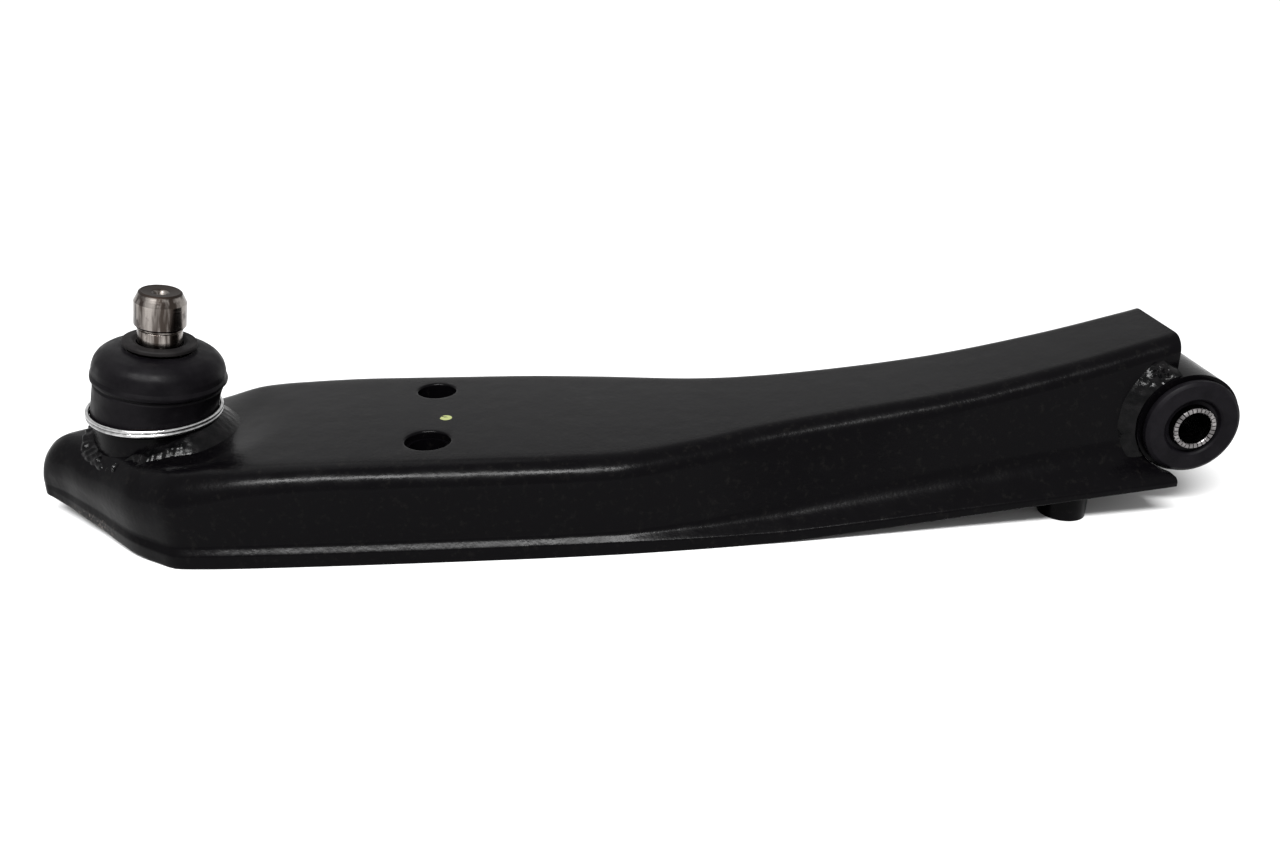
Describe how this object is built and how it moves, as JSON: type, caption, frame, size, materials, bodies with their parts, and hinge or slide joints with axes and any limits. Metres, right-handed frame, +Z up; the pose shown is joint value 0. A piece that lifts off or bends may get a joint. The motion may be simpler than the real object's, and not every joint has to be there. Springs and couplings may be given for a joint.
{
  "type": "suspension control arm",
  "caption": "Pressed-steel lower control arm: a tapering channel with a welded ball joint and rubber boot at its wide end and a rubber-bonded pivot bush at its narrow end.",
  "frame": {"origin": "centre of the pivot bush bore", "axes": "+Y along the pivot axis, -X toward the ball joint, +Z up with the arm lying on its outer rim"},
  "size_m": [0.4272, 0.0932, 0.0833],
  "materials": {
    "black_coat": "satin black electro-coat",
    "weld_coat": "glossy black coat over weld bead",
    "zinc_steel": "dull plated steel",
    "seat_plastic": "natural moulded plastic",
    "spring_steel": "dark tempered spring steel",
    "boot_rubber": "matte moulded rubber",
    "retainer_rubber": "matte moulded rubber over a steel ring",
    "bright_wire": "bright spring wire",
    "stud_steel": "turned steel, lightly oiled",
    "bush_rubber": "satin moulded rubber",
    "sleeve_steel": "bright serrated steel"
  },
  "bodies": {
    "arm": {"arm_shell": "black_coat", "closing_plate": "black_coat", "spacer_near": "black_coat", "spacer_far": "black_coat", "pivot_tube": "black_coat", "pivot_weld_near": "weld_coat", "pivot_weld_far": "weld_coat", "ball_housing": "black_coat", "housing_weld": "weld_coat", "end_cap": "zinc_steel", "link_boss": "black_coat", "seat_lower": "seat_plastic", "seat_upper": "seat_plastic", "preload_spring": "spring_steel", "dust_boot": "boot_rubber", "boot_clamp": "bright_wire", "bush_outer_sleeve": "zinc_steel", "bush_rubber": "bush_rubber"},
    "inner_sleeve": {"bush_inner_sleeve": "sleeve_steel"},
    "stud_swing": {"boot_retainer": "retainer_rubber"},
    "stud": {"ball_stud": "stud_steel"}
  },
  "joints": [
    {"name": "bush_twist", "type": "hinge", "parent": "arm", "child": "inner_sleeve", "pos_m": [0, 0, 0], "axis": [0, 1, 0], "range_deg": [-20, 20], "stiffness_Nm_per_rad": 20},
    {"name": "ball_swing", "type": "hinge", "parent": "arm", "child": "stud_swing", "pos_m": [-0.36806, 0, -0.0105], "axis": [0, 1, 0], "range_deg": [-25, 15], "deforming": ["dust_boot"]},
    {"name": "stud_spin", "type": "hinge", "parent": "stud_swing", "child": "stud", "pos_m": [-0.36806, 0, -0.0105], "axis": [0.1616, 0, 0.9869], "continuous": true}
  ]
}
